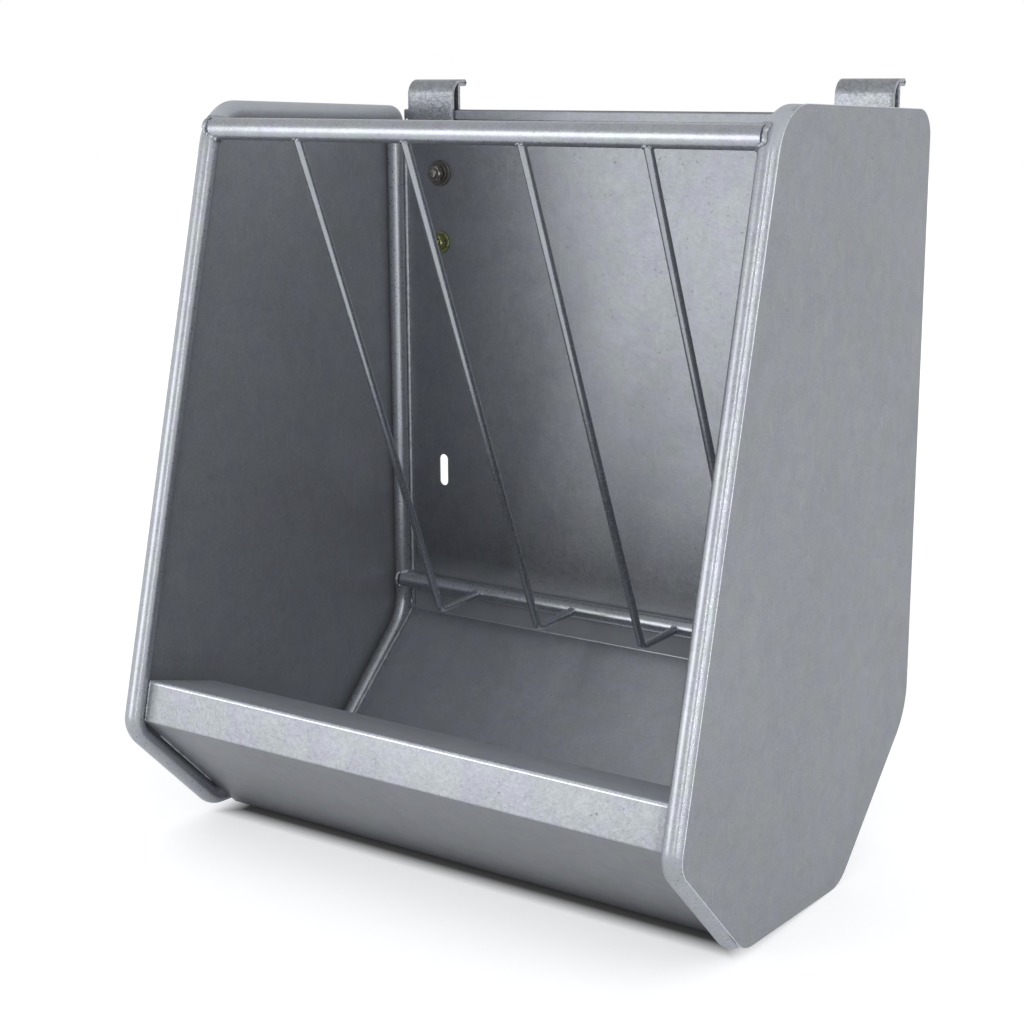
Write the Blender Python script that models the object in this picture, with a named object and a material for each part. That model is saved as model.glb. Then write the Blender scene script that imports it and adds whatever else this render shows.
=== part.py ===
# Wall-hung horse feeder: a hay rack over a feed trough, welded from bent tube and folded sheet.
# Metres, +Z up. The back of the feeder faces +Y, the open front faces -Y, X runs left to right.
import math

import bmesh
import bpy
from mathutils import Matrix, Vector

# Clearances
WELD_GAP = 0.0003        # space left between two pieces that touch or are welded
BOLT_PLAY = 0.0005       # radial play of a bolt in its hole

# Side frames: sharp corners of the side sheet, as depth in front of the wall plane and height
OVERALL_WIDTH = 0.740    # over the outer faces of the two side sheets
HEIGHT_FRONT = 0.8520    # top front corner
HEIGHT_REAR = 0.8395     # top rear corner
TOP_DEPTH = 0.3470       # wall plane to the top front corner
LIP_DEPTH = 0.5245       # wall plane to the foremost corner
LIP_HEIGHT = 0.1430      # foremost corner above the floor
FLOOR_FRONT = 0.3920     # front end of the bottom
FLOOR_FRONT_RISE = 0.0105    # the bottom climbs by this much towards the front
FLOOR_REAR = 0.1665      # rear end of the bottom
HEEL_HEIGHT = 0.1580     # where the upright back turns in to the bottom

SIDE_SHEET = 0.0020
TUBE_RADIUS = 0.0110
TUBE_WALL = 0.0020
TUBE_SHOWING = 0.0038    # sheet edge ahead of the tube's centre line, along the two front runs
BEND_TOP_FRONT = 0.0480  # centre line radii of the tube bends
BEND_TOP_REAR = 0.0130
BEND_HEEL = 0.0690
BEND_FLOOR_REAR = 0.0400
BEND_FLOOR_FRONT = 0.0360
BEND_LIP = 0.0300
CORNER_TOP_FRONT = 0.0600    # corner radii of the side sheet
CORNER_TOP_REAR = 0.0320
CORNER_HEEL = 0.0800
CORNER_FLOOR_REAR = 0.0500
CORNER_FLOOR_FRONT = 0.0260
CORNER_LIP = 0.0300
TUBE_SIDES = 16
BEND_STEPS = 7

# Bars across the frames
TOP_BAR_RADIUS = 0.0125
TOP_BAR_DROP = 0.0325    # middle of the bar below the top front corner of the side sheets
LOWER_BAR_RADIUS = 0.0110
LOWER_BAR_HEIGHT = 0.2120    # middle of the bar above the floor
BAR_WALL = 0.0020
BAR_SIDES = 24
BAR_END_REACH = 0.0055   # how far a coped bar end reaches round the side tube

# Hay rods
ROD_RADIUS = 0.0050
ROD_SPACING = 0.1500
ROD_COUNT = 4
ROD_TOP_LEAD = 0.0050    # top end of the rod ahead of the middle of the top bar
ROD_TOP_DROP = 0.0050    # and below it
ROD_KNEE_DEPTH = 0.1030  # wall plane to the knee of the rod
ROD_KNEE_DROP = 0.0030   # knee below the middle of the lower bar
ROD_KNEE_BEND = 0.0120
ROD_SIDES = 12

# Sheet metal between the frames
PAN_SHEET = 0.0015
PAN_FLOOR_HEIGHT = 0.0020    # rear fold of the trough floor above the lowest point of the side sheets
PAN_FLOOR_SETBACK = 0.0195   # and ahead of the rear end of their bottom edge
PAN_FLOOR_FRONT_HEIGHT = 0.0080
PAN_FOLD_RISE = 0.0105   # fold under the rear flange above the heel of the side sheets
PAN_REAR_FLANGE = 0.0240
PAN_WING_START = 0.0180   # bend allowance at the lower end of the edge welded behind the tube
PAN_WING_END = 0.0240    # and at its upper end
BAND_SETBACK = 0.0045    # face of the front band behind the centre line of the tubes
BAND_RISE = 0.0570       # top of the front band above the foremost corner of the side sheets
RIM_DEPTH = 0.1050       # inward rim of the trough, measured level
RIM_FALL = 0.0285        # how much the rim drops towards the back
FOLD_RADIUS = 0.0040

BACK_SHEET = 0.0015
BACK_EDGE_GAP = 0.0037   # side edge of the back panel to the side tube
BACK_TOP_DROP = 0.0045   # top of the back panel below the top rear corner of the side sheets
BACK_HEM_DEPTH = 0.0084
BACK_HEM_DROP = 0.0120

SLOT_WIDTH = 0.0130
SLOT_LENGTH = 0.0420
SLOT_HEIGHT = 0.3675
FIXING_INSET = 0.0510    # line of the slot and bolts from the side edge of the back panel
CUTTER_REACH = 0.0300    # cutters for slots and holes reach this far each way from the wall plane

# Hooks
HOOK_INSET = 0.0450      # middle of the strap from the side edge of the back panel
HOOK_WIDTH = 0.0700
HOOK_STRAP = 0.0040
HOOK_RISE = 0.0370       # top of the hook above the top of the back panel
HOOK_FRONT_LEG = 0.0690  # lengths of the legs, from the top of the hook
HOOK_REAR_LEG = 0.2340
HOOK_FRONT_BEND = 0.0130
HOOK_SADDLE = 0.0170     # front face of the front leg to rear face of the rear leg
HOOK_NOSE = 0.0310       # front face of the front leg to the tip of the folded nose
HOOK_FOLD = 0.00225      # centre line radius of the tight folds

# Bolts
BOLT_RADIUS = 0.0060
UPPER_BOLT_DROP = 0.1170     # bolts below the top of the hook
LOWER_BOLT_DROP = 0.2050
BOLT_END = 0.0040        # bolt end past the nut
NUT_FLATS = 0.0190
NUT_THICKNESS = 0.0100
CUP_HEAD_RADIUS = 0.0130
CUP_HEAD_HEIGHT = 0.0065
WIDE_WASHER_RADIUS = 0.0165
WIDE_WASHER = 0.0025
SMALL_WASHER_RADIUS = 0.0125
SMALL_WASHER = 0.0025
LOWER_WASHER_RADIUS = 0.0140
LOWER_WASHER = 0.0025
ROUND_STEPS = 24


# Scene helpers
def clear_scene():
    for item in list(bpy.data.objects):
        bpy.data.objects.remove(item, do_unlink=True)


def finish_metal(name, colour, roughness, metallic):
    material = bpy.data.materials.new(name)
    material.use_nodes = True
    shader = material.node_tree.nodes["Principled BSDF"]
    shader.inputs["Base Color"].default_value = (*colour, 1.0)
    shader.inputs["Roughness"].default_value = roughness
    shader.inputs["Metallic"].default_value = metallic
    material.diffuse_color = (*colour, 1.0)
    material.roughness = roughness
    material.metallic = metallic
    return material


def object_from_bmesh(name, shape, smooth=False):
    bmesh.ops.remove_doubles(shape, verts=shape.verts, dist=1e-7)
    bmesh.ops.recalc_face_normals(shape, faces=shape.faces)
    mesh = bpy.data.meshes.new(name)
    shape.to_mesh(mesh)
    shape.free()
    if smooth:
        for face in mesh.polygons:
            face.use_smooth = True
    made = bpy.data.objects.new(name, mesh)
    bpy.context.scene.collection.objects.link(made)
    return made


def paint(target, colour, roughness=0.45, metallic=0.7):
    target.data.materials.clear()
    target.data.materials.append(finish_metal(target.name + "_finish", colour, roughness, metallic))
    return target


def hide_cutter(cutter):
    cutter.hide_render = True
    cutter.display_type = "WIRE"
    return cutter


def cut(target, cutter, label):
    step = target.modifiers.new(label, "BOOLEAN")
    step.operation = "DIFFERENCE"
    step.solver = "EXACT"
    step.object = hide_cutter(cutter)


def thicken(target, thickness, offset):
    step = target.modifiers.new("sheet thickness", "SOLIDIFY")
    step.thickness = thickness
    step.offset = offset
    step.use_even_offset = True


# Plane geometry in the side view: points are (y, z)
def offset_corners(corners, insets):
    """Corners of a closed outline after moving each side inwards; insets[i] is for the side i to i + 1."""
    count = len(corners)
    area = sum(corners[i][0] * corners[(i + 1) % count][1] - corners[(i + 1) % count][0] * corners[i][1]
               for i in range(count))
    turn = 1.0 if area > 0 else -1.0
    sides = []
    for i in range(count):
        start = Vector(corners[i])
        along = (Vector(corners[(i + 1) % count]) - start).normalized()
        inward = Vector((-along.y, along.x)) * turn
        sides.append((start + inward * insets[i], along))
    moved = []
    for i in range(count):
        p, u = sides[i - 1]
        q, v = sides[i]
        cross = u.x * v.y - u.y * v.x
        reach = ((q.x - p.x) * v.y - (q.y - p.y) * v.x) / cross
        moved.append(p + u * reach)
    return moved


def rounded_path(corners, radii, closed, steps):
    """The outline with every corner of non-zero radius replaced by an arc."""
    points = []
    count = len(corners)
    for i, corner in enumerate(corners):
        corner = Vector(corner)
        radius = radii[i]
        if radius == 0.0 or (not closed and i in (0, count - 1)):
            points.append(corner)
            continue
        back = (Vector(corners[i - 1]) - corner).normalized()
        ahead = (Vector(corners[(i + 1) % count]) - corner).normalized()
        half = back.angle(ahead) / 2
        centre = corner + (back + ahead).normalized() * (radius / math.sin(half))
        tangent = radius / math.tan(half)
        first = corner + back * tangent - centre
        second = corner + ahead * tangent - centre
        turn = first.x * second.y - first.y * second.x
        sweep = (math.pi - 2 * half) * (1.0 if turn > 0 else -1.0)
        for k in range(steps + 1):
            angle = sweep * k / steps
            points.append(centre + Vector((first.x * math.cos(angle) - first.y * math.sin(angle),
                                           first.x * math.sin(angle) + first.y * math.cos(angle))))
    return points


def y_on_line(first, second, height):
    """The y at which the line through two side view points reaches a height."""
    share = (height - first[1]) / (second[1] - first[1])
    return first[0] + (second[0] - first[0]) * share


def meeting_point(first, second, third, fourth):
    """Where the line first-second crosses the line third-fourth, in the side view."""
    p, q = Vector(first), Vector(third)
    u, v = Vector(second) - p, Vector(fourth) - q
    cross = u.x * v.y - u.y * v.x
    return p + u * (((q.x - p.x) * v.y - (q.y - p.y) * v.x) / cross)


# Solids
def swept_round(name, path, x, radius, sides, capped=True):
    """A round section carried along a side view path, at one X."""
    shape = bmesh.new()
    rings = []
    count = len(path)
    for i, point in enumerate(path):
        before = Vector(path[max(i - 1, 0)])
        after = Vector(path[min(i + 1, count - 1)])
        into = (Vector(point) - before).normalized() if i > 0 else (after - Vector(point)).normalized()
        out = (after - Vector(point)).normalized() if i < count - 1 else into
        along = (into + out).normalized()
        mitre = 1.0 / max(along.dot(out), 0.5)
        across = Vector((-along.y, along.x))
        ring = []
        for k in range(sides):
            angle = 2 * math.pi * k / sides
            side = radius * mitre * math.sin(angle)
            ring.append(shape.verts.new((x + radius * math.cos(angle),
                                         point[0] + across.x * side,
                                         point[1] + across.y * side)))
        rings.append(ring)
    for first, second in zip(rings, rings[1:]):
        for k in range(sides):
            shape.faces.new((first[k], first[(k + 1) % sides], second[(k + 1) % sides], second[k]))
    if capped:
        shape.faces.new(rings[0])
        shape.faces.new(rings[-1])
    return object_from_bmesh(name, shape, smooth=True)


def plate_from_outline(name, outline, x_low, x_high):
    """A flat plate with a side view outline, between two X values."""
    shape = bmesh.new()
    low = [shape.verts.new((x_low, p[0], p[1])) for p in outline]
    high = [shape.verts.new((x_high, p[0], p[1])) for p in outline]
    shape.faces.new(low)
    shape.faces.new(high)
    for i in range(len(outline)):
        j = (i + 1) % len(outline)
        shape.faces.new((low[i], low[j], high[j], high[i]))
    return object_from_bmesh(name, shape)


def folded_strip(name, path, x_columns, wide_rows=()):
    """A folded sheet surface. Where it has wings, only the rows in wide_rows fill the outer columns."""
    shape = bmesh.new()
    grid = [[shape.verts.new((x, p[0], p[1])) for x in x_columns] for p in path]
    last = len(x_columns) - 2
    for row in range(len(path) - 1):
        for column in range(last + 1):
            outer = last > 0 and column in (0, last)
            if outer and row not in wide_rows:
                continue
            shape.faces.new((grid[row][column], grid[row][column + 1],
                             grid[row + 1][column + 1], grid[row + 1][column]))
    loose = [v for v in shape.verts if not v.link_faces]
    bmesh.ops.delete(shape, geom=loose, context="VERTS")
    mesh = bpy.data.meshes.new(name)
    shape.to_mesh(mesh)
    shape.free()
    made = bpy.data.objects.new(name, mesh)
    bpy.context.scene.collection.objects.link(made)
    return made


def cylinder_between(name, start, end, radius, steps, smooth=True):
    """A closed cylinder from one point to another."""
    start, end = Vector(start), Vector(end)
    shape = bmesh.new()
    bmesh.ops.create_cone(shape, cap_ends=True, cap_tris=False, segments=steps, radius1=radius,
                          radius2=radius, depth=(end - start).length)
    turn = (end - start).to_track_quat("Z", "Y").to_matrix().to_4x4()
    bmesh.ops.transform(shape, matrix=turn, verts=shape.verts)
    bmesh.ops.translate(shape, vec=(start + end) / 2, verts=shape.verts)
    return object_from_bmesh(name, shape, smooth=smooth)


def turned_along_y(name, profile, centre, steps, closed_axis, smooth=True):
    """A turned piece with its axis along Y; profile lists (radius, y) from one end to the other."""
    shape = bmesh.new()
    rings = []
    for radius, y in profile:
        rings.append([shape.verts.new((centre[0] + radius * math.cos(2 * math.pi * k / steps), y,
                                       centre[1] + radius * math.sin(2 * math.pi * k / steps)))
                      for k in range(steps)])
    for first, second in zip(rings, rings[1:]):
        for k in range(steps):
            shape.faces.new((first[k], first[(k + 1) % steps], second[(k + 1) % steps], second[k]))
    if closed_axis:
        shape.faces.new(rings[0])
        shape.faces.new(rings[-1])
    else:
        for k in range(steps):
            shape.faces.new((rings[-1][k], rings[-1][(k + 1) % steps], rings[0][(k + 1) % steps],
                             rings[0][k]))
    return object_from_bmesh(name, shape, smooth=smooth)


# Derived outlines of the side frame
SHEET_CORNERS = (
    (-TOP_DEPTH, HEIGHT_FRONT),
    (0.0, HEIGHT_REAR),
    (0.0, HEEL_HEIGHT),
    (-FLOOR_REAR, 0.0),
    (-FLOOR_FRONT, FLOOR_FRONT_RISE),
    (-LIP_DEPTH, LIP_HEIGHT),
)
TUBE_INSETS = (TUBE_RADIUS, TUBE_RADIUS, TUBE_RADIUS, TUBE_RADIUS, TUBE_SHOWING, TUBE_SHOWING)
TUBE_BENDS = (BEND_TOP_FRONT, BEND_TOP_REAR, BEND_HEEL, BEND_FLOOR_REAR, BEND_FLOOR_FRONT, BEND_LIP)
SHEET_RADII = (CORNER_TOP_FRONT, CORNER_TOP_REAR, CORNER_HEEL, CORNER_FLOOR_REAR,
               CORNER_FLOOR_FRONT, CORNER_LIP)
TOP_FRONT, TOP_REAR, HEEL, FLOOR_BACK, FLOOR_FORE, FORE = range(6)
TUBE_X = OVERALL_WIDTH / 2 - SIDE_SHEET - WELD_GAP - TUBE_RADIUS
INNER_X = TUBE_X - TUBE_RADIUS
SIDES = (("left", -1.0), ("right", 1.0))

# Derived places of the back panel and what is fixed to it
BACK_HALF_WIDTH = INNER_X - BACK_EDGE_GAP
BACK_TOP = HEIGHT_REAR - BACK_TOP_DROP
HOOK_TOP = BACK_TOP + HOOK_RISE
HOOK_X = BACK_HALF_WIDTH - HOOK_INSET
FIXING_X = BACK_HALF_WIDTH - FIXING_INSET
BOLT_LEVELS = (("upper", HOOK_TOP - UPPER_BOLT_DROP), ("lower", HOOK_TOP - LOWER_BOLT_DROP))
PAN_FOLD_HEIGHT = HEEL_HEIGHT + PAN_FOLD_RISE


def tube_corners():
    return offset_corners(SHEET_CORNERS, TUBE_INSETS)


def tube_loop_path():
    """Centre line of a side tube, open by a weld gap in the middle of the bottom."""
    corners = tube_corners()
    middle = (corners[FLOOR_BACK] + corners[FLOOR_FORE]) / 2
    half_gap = (corners[FLOOR_BACK] - corners[FLOOR_FORE]).normalized() * (WELD_GAP / 2)
    order = (FLOOR_FORE, FORE, TOP_FRONT, TOP_REAR, HEEL, FLOOR_BACK)
    points = [middle - half_gap] + [corners[i] for i in order] + [middle + half_gap]
    radii = [0.0] + [TUBE_BENDS[i] for i in order] + [0.0]
    return rounded_path(points, radii, False, BEND_STEPS)


def make_side_frames():
    path = tube_loop_path()
    outline = rounded_path(SHEET_CORNERS, SHEET_RADII, True, BEND_STEPS)
    for label, side in SIDES:
        tube = swept_round("side_tube_" + label, path, side * TUBE_X, TUBE_RADIUS, TUBE_SIDES,
                           capped=False)
        thicken(tube, TUBE_WALL, -1.0)
        paint(tube, (0.56, 0.58, 0.60), 0.40, 0.80)
        outer = side * OVERALL_WIDTH / 2
        inner = outer - side * SIDE_SHEET
        sheet = plate_from_outline("side_sheet_" + label, outline, min(outer, inner),
                                   max(outer, inner))
        paint(sheet, (0.47, 0.49, 0.52), 0.50, 0.70)


# Bars
def make_bar(name, centre, radius):
    """A hollow bar between the side tubes, its ends coped to sit against them."""
    reach = INNER_X + BAR_END_REACH
    y, z = centre
    bar = cylinder_between(name, (-reach, y, z), (reach, y, z), radius, BAR_SIDES)
    bore_end = OVERALL_WIDTH
    bore = cylinder_between(name + "_bore_cutter", (-bore_end, y, z), (bore_end, y, z),
                            radius - BAR_WALL, BAR_SIDES)
    cut(bar, bore, "bore")
    path = tube_loop_path()
    for label, side in SIDES:
        saddle = swept_round(name + "_saddle_cutter_" + label, path, side * TUBE_X,
                             TUBE_RADIUS + WELD_GAP, TUBE_SIDES * 2)
        cut(bar, saddle, "saddle " + label)
    paint(bar, (0.60, 0.62, 0.64), 0.38, 0.80)
    return bar


def top_bar_centre():
    corners = tube_corners()
    height = HEIGHT_FRONT - TOP_BAR_DROP
    return (y_on_line(corners[FORE], corners[TOP_FRONT], height), height)


def lower_bar_centre():
    panel_face = -(2 * WELD_GAP + PAN_SHEET + BACK_SHEET)
    return (panel_face - WELD_GAP - LOWER_BAR_RADIUS, LOWER_BAR_HEIGHT)


def make_bars():
    make_bar("top_bar", top_bar_centre(), TOP_BAR_RADIUS)
    make_bar("lower_bar", lower_bar_centre(), LOWER_BAR_RADIUS)


# Hay rods
def make_hay_rods():
    top = top_bar_centre()
    low = lower_bar_centre()
    start = (top[0] - ROD_TOP_LEAD, top[1] - ROD_TOP_DROP)
    knee = (-ROD_KNEE_DEPTH, LOWER_BAR_HEIGHT - ROD_KNEE_DROP)
    path = rounded_path((start, knee, low), (0.0, ROD_KNEE_BEND, 0.0), False, BEND_STEPS)
    for index in range(ROD_COUNT):
        x = (index - (ROD_COUNT - 1) / 2) * ROD_SPACING
        name = "hay_rod_%d" % (index + 1)
        rod = swept_round(name, path, x, ROD_RADIUS, ROD_SIDES)
        reach = 3 * ROD_RADIUS
        for label, centre, radius in (("top", top, TOP_BAR_RADIUS), ("low", low, LOWER_BAR_RADIUS)):
            cutter = cylinder_between(name + "_cutter_" + label, (x - reach, centre[0], centre[1]),
                                      (x + reach, centre[0], centre[1]), radius + WELD_GAP,
                                      2 * BAR_SIDES)
            cut(rod, cutter, "saddle " + label)
        paint(rod, (0.45, 0.47, 0.49), 0.45, 0.75)


# Trough pan: one folded sheet from the rear flange, under the trough and up to the front rim
def pan_corners():
    tubes = tube_corners()
    insets = [0.0, 0.0, 0.0, 0.0, TUBE_RADIUS + WELD_GAP, BAND_SETBACK]
    inner = offset_corners(tubes, insets)
    slant_low, slant_high = inner[FLOOR_FORE], inner[FORE]
    behind = offset_corners(tubes, [0.0, 0.0, 0.0, 0.0, 0.0, BAND_SETBACK])
    band_low, band_high = behind[FORE], behind[TOP_FRONT]
    floor_height = PAN_FLOOR_FRONT_HEIGHT
    front_floor = Vector((y_on_line(slant_low, slant_high, floor_height), floor_height))
    band_foot = meeting_point(slant_low, slant_high, band_low, band_high)
    band_top = LIP_HEIGHT + BAND_RISE
    band_head = Vector((y_on_line(band_low, band_high, band_top), band_top))
    along = (tubes[FORE] - tubes[FLOOR_FORE]).normalized()
    inward = (slant_high - tubes[FORE]).normalized()
    inward = (inward - along * inward.dot(along)).normalized() * (TUBE_RADIUS + WELD_GAP)
    wing_low = tubes[FLOOR_FORE] + along * PAN_WING_START + inward
    wing_high = tubes[FORE] - along * PAN_WING_END + inward
    return [
        Vector((-WELD_GAP, PAN_FOLD_HEIGHT + PAN_REAR_FLANGE)),
        Vector((-WELD_GAP, PAN_FOLD_HEIGHT)),
        Vector((-FLOOR_REAR - PAN_FLOOR_SETBACK, PAN_FLOOR_HEIGHT)),
        front_floor,
        wing_low,
        wing_high,
        band_foot,
        band_head,
        band_head + Vector((RIM_DEPTH, -RIM_FALL)),
    ]


def make_trough_pan():
    steps = 3
    fold = FOLD_RADIUS
    radii = (0.0, fold, fold, fold, 0.0, 0.0, fold, fold, 0.0)
    path = rounded_path(pan_corners(), radii, False, steps)
    half = INNER_X - WELD_GAP
    wide = OVERALL_WIDTH / 2 - SIDE_SHEET - WELD_GAP
    wing_row = 1 + 3 * (steps + 1)
    pan = folded_strip("trough_pan", path, (-wide, -half, half, wide), wide_rows=(wing_row,))
    thicken(pan, PAN_SHEET, -1.0)
    paint(pan, (0.52, 0.54, 0.56), 0.48, 0.72)
    return pan


# Back panel with its slots and bolt holes
def panel_rear_face():
    return -(2 * WELD_GAP + PAN_SHEET)


def slot_cutter(name, x):
    half = (SLOT_LENGTH - SLOT_WIDTH) / 2
    radius = SLOT_WIDTH / 2
    outline = []
    for end in (1.0, -1.0):
        for k in range(ROUND_STEPS // 2 + 1):
            angle = math.pi * k / (ROUND_STEPS // 2) + (0.0 if end > 0 else math.pi)
            outline.append((x + radius * math.cos(angle),
                            SLOT_HEIGHT + end * half + radius * math.sin(angle)))
    shape = bmesh.new()
    near = [shape.verts.new((p[0], -CUTTER_REACH, p[1])) for p in outline]
    far = [shape.verts.new((p[0], CUTTER_REACH, p[1])) for p in outline]
    shape.faces.new(near)
    shape.faces.new(far)
    for i in range(len(outline)):
        j = (i + 1) % len(outline)
        shape.faces.new((near[i], near[j], far[j], far[i]))
    return object_from_bmesh(name, shape)


def bolt_hole_cutter(name, x, z):
    return cylinder_between(name, (x, -CUTTER_REACH, z), (x, CUTTER_REACH, z),
                            BOLT_RADIUS + BOLT_PLAY, ROUND_STEPS)


def make_back_panel():
    rear = panel_rear_face()
    foot = PAN_FOLD_HEIGHT + FOLD_RADIUS / 2
    corners = [
        Vector((rear - BACK_HEM_DEPTH, BACK_TOP - BACK_HEM_DROP)),
        Vector((rear - BACK_HEM_DEPTH, BACK_TOP)),
        Vector((rear, BACK_TOP)),
        Vector((rear, foot)),
    ]
    fold = FOLD_RADIUS * 0.6
    path = rounded_path(corners, (0.0, fold, fold, 0.0), False, 3)
    panel = folded_strip("back_panel", path, (-BACK_HALF_WIDTH, BACK_HALF_WIDTH))
    thicken(panel, BACK_SHEET, -1.0)
    for label, side in SIDES:
        cut(panel, slot_cutter("slot_cutter_" + label, side * FIXING_X), "slot " + label)
        for level, z in BOLT_LEVELS:
            name = "panel_hole_cutter_%s_%s" % (label, level)
            hole = bolt_hole_cutter(name, side * FIXING_X, z)
            cut(panel, hole, "bolt hole %s %s" % (label, level))
    paint(panel, (0.50, 0.52, 0.55), 0.50, 0.70)
    return panel


# Hooks: one strap folded over the top of the back panel, with a doubled nose behind
def hook_path():
    rear_leg = panel_rear_face() + WELD_GAP + HOOK_STRAP / 2
    front_leg = rear_leg + HOOK_STRAP - HOOK_SADDLE
    nose = front_leg - HOOK_STRAP + HOOK_NOSE
    top = HOOK_TOP - HOOK_STRAP / 2
    under = top - 2 * HOOK_FOLD
    corners = [
        Vector((front_leg, HOOK_TOP - HOOK_FRONT_LEG)),
        Vector((front_leg, top)),
        Vector((nose, top)),
        Vector((nose, under)),
        Vector((rear_leg, under)),
        Vector((rear_leg, HOOK_TOP - HOOK_REAR_LEG)),
    ]
    tight = HOOK_FOLD * 0.999
    return rounded_path(corners, (0.0, HOOK_FRONT_BEND, tight, tight, tight, 0.0), False, 5)


def make_hooks():
    path = hook_path()
    for label, side in SIDES:
        x = side * HOOK_X
        hook = folded_strip("hook_" + label, path, (x - HOOK_WIDTH / 2, x + HOOK_WIDTH / 2))
        thicken(hook, HOOK_STRAP, 0.0)
        for level, z in BOLT_LEVELS:
            name = "hook_hole_cutter_%s_%s" % (label, level)
            cut(hook, bolt_hole_cutter(name, side * FIXING_X, z), "bolt hole " + level)
        paint(hook, (0.62, 0.64, 0.66), 0.42, 0.80)


# Bolts, nuts and washers
def make_washer(name, centre, y_rear, thickness, radius, colour):
    bore = BOLT_RADIUS + WELD_GAP
    profile = ((bore, y_rear), (radius, y_rear), (radius, y_rear - thickness),
               (bore, y_rear - thickness))
    washer = turned_along_y(name, profile, centre, ROUND_STEPS, closed_axis=False)
    paint(washer, colour, 0.35, 0.90)
    return y_rear - thickness


def make_nut(name, centre, y_rear):
    shape = bmesh.new()
    corner = NUT_FLATS / math.sqrt(3.0)
    bmesh.ops.create_cone(shape, cap_ends=True, cap_tris=False, segments=6, radius1=corner,
                          radius2=corner, depth=NUT_THICKNESS)
    turn = Vector((0.0, 1.0, 0.0)).to_track_quat("Z", "Y").to_matrix().to_4x4()
    bmesh.ops.transform(shape, matrix=turn, verts=shape.verts)
    bmesh.ops.translate(shape, vec=(centre[0], y_rear - NUT_THICKNESS / 2, centre[1]),
                        verts=shape.verts)
    nut = object_from_bmesh(name, shape)
    bore = cylinder_between(name + "_cutter", (centre[0], y_rear + NUT_THICKNESS, centre[1]),
                            (centre[0], y_rear - 2 * NUT_THICKNESS, centre[1]),
                            BOLT_RADIUS + WELD_GAP, ROUND_STEPS)
    cut(nut, bore, "bore")
    paint(nut, (0.42, 0.40, 0.36), 0.38, 0.90)
    return y_rear - NUT_THICKNESS


def make_bolt(name, centre, y_head, y_end):
    """A cup head bolt: head behind the strap, shank forward through the washers and nut."""
    chamfer = BOLT_RADIUS * 0.25
    dome = 6
    profile = [(BOLT_RADIUS - chamfer, y_end), (BOLT_RADIUS, y_end + chamfer),
               (BOLT_RADIUS, y_head), (CUP_HEAD_RADIUS, y_head)]
    for k in range(1, dome):
        angle = math.pi / 2 * k / dome
        profile.append((CUP_HEAD_RADIUS * math.cos(angle),
                        y_head + CUP_HEAD_HEIGHT * math.sin(angle)))
    profile.append((CUP_HEAD_RADIUS * 0.12, y_head + CUP_HEAD_HEIGHT))
    bolt = turned_along_y(name, profile, centre, ROUND_STEPS, closed_axis=True)
    paint(bolt, (0.55, 0.54, 0.50), 0.35, 0.90)


def make_fixings():
    panel_face = panel_rear_face() - BACK_SHEET
    strap_rear = panel_rear_face() + WELD_GAP + HOOK_STRAP
    steel = (0.48, 0.46, 0.42)
    yellow = (0.62, 0.56, 0.33)
    for label, side in SIDES:
        for level, z in BOLT_LEVELS:
            centre = (side * FIXING_X, z)
            tag = "%s_%s" % (label, level)
            face = panel_face - WELD_GAP
            if level == "upper":
                face = make_washer("wide_washer_" + tag, centre, face, WIDE_WASHER,
                                   WIDE_WASHER_RADIUS, steel) - WELD_GAP
                face = make_washer("small_washer_" + tag, centre, face, SMALL_WASHER,
                                   SMALL_WASHER_RADIUS, steel) - WELD_GAP
            else:
                face = make_washer("washer_" + tag, centre, face, LOWER_WASHER,
                                   LOWER_WASHER_RADIUS, yellow) - WELD_GAP
            face = make_nut("nut_" + tag, centre, face)
            make_bolt("bolt_" + tag, centre, strap_rear + WELD_GAP, face - BOLT_END)


def stand_on_origin():
    """Move everything so that the feeder stands on the floor with its box centred on the origin."""
    bpy.context.view_layer.update()
    graph = bpy.context.evaluated_depsgraph_get()
    corners = []
    for item in bpy.data.objects:
        if not item.hide_render:
            corners += [Vector(corner) for corner in item.evaluated_get(graph).bound_box]
    middle = (min(c.y for c in corners) + max(c.y for c in corners)) / 2
    shift = Matrix.Translation((0.0, -middle, -min(c.z for c in corners)))
    for item in bpy.data.objects:
        item.data.transform(shift)


def main():
    clear_scene()
    make_side_frames()
    make_bars()
    make_hay_rods()
    make_trough_pan()
    make_back_panel()
    make_hooks()
    make_fixings()
    stand_on_origin()


main()
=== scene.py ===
import math
import random

import bmesh
import bpy
from mathutils import Matrix, Vector, noise

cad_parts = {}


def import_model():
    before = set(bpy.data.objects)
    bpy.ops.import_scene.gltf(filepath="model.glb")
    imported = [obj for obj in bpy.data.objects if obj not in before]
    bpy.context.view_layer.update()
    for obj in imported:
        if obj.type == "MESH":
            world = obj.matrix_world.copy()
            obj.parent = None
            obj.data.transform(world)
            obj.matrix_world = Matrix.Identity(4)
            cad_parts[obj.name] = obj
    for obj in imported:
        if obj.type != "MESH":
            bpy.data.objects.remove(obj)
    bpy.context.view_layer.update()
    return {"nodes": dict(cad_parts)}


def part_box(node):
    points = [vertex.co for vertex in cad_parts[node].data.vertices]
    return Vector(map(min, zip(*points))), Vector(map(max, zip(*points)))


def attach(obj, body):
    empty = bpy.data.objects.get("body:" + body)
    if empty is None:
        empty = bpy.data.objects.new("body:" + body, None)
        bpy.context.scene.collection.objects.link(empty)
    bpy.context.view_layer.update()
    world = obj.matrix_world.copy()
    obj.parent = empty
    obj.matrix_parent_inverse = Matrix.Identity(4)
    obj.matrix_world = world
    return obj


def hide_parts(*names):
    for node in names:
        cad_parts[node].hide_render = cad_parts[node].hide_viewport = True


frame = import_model()

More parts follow.
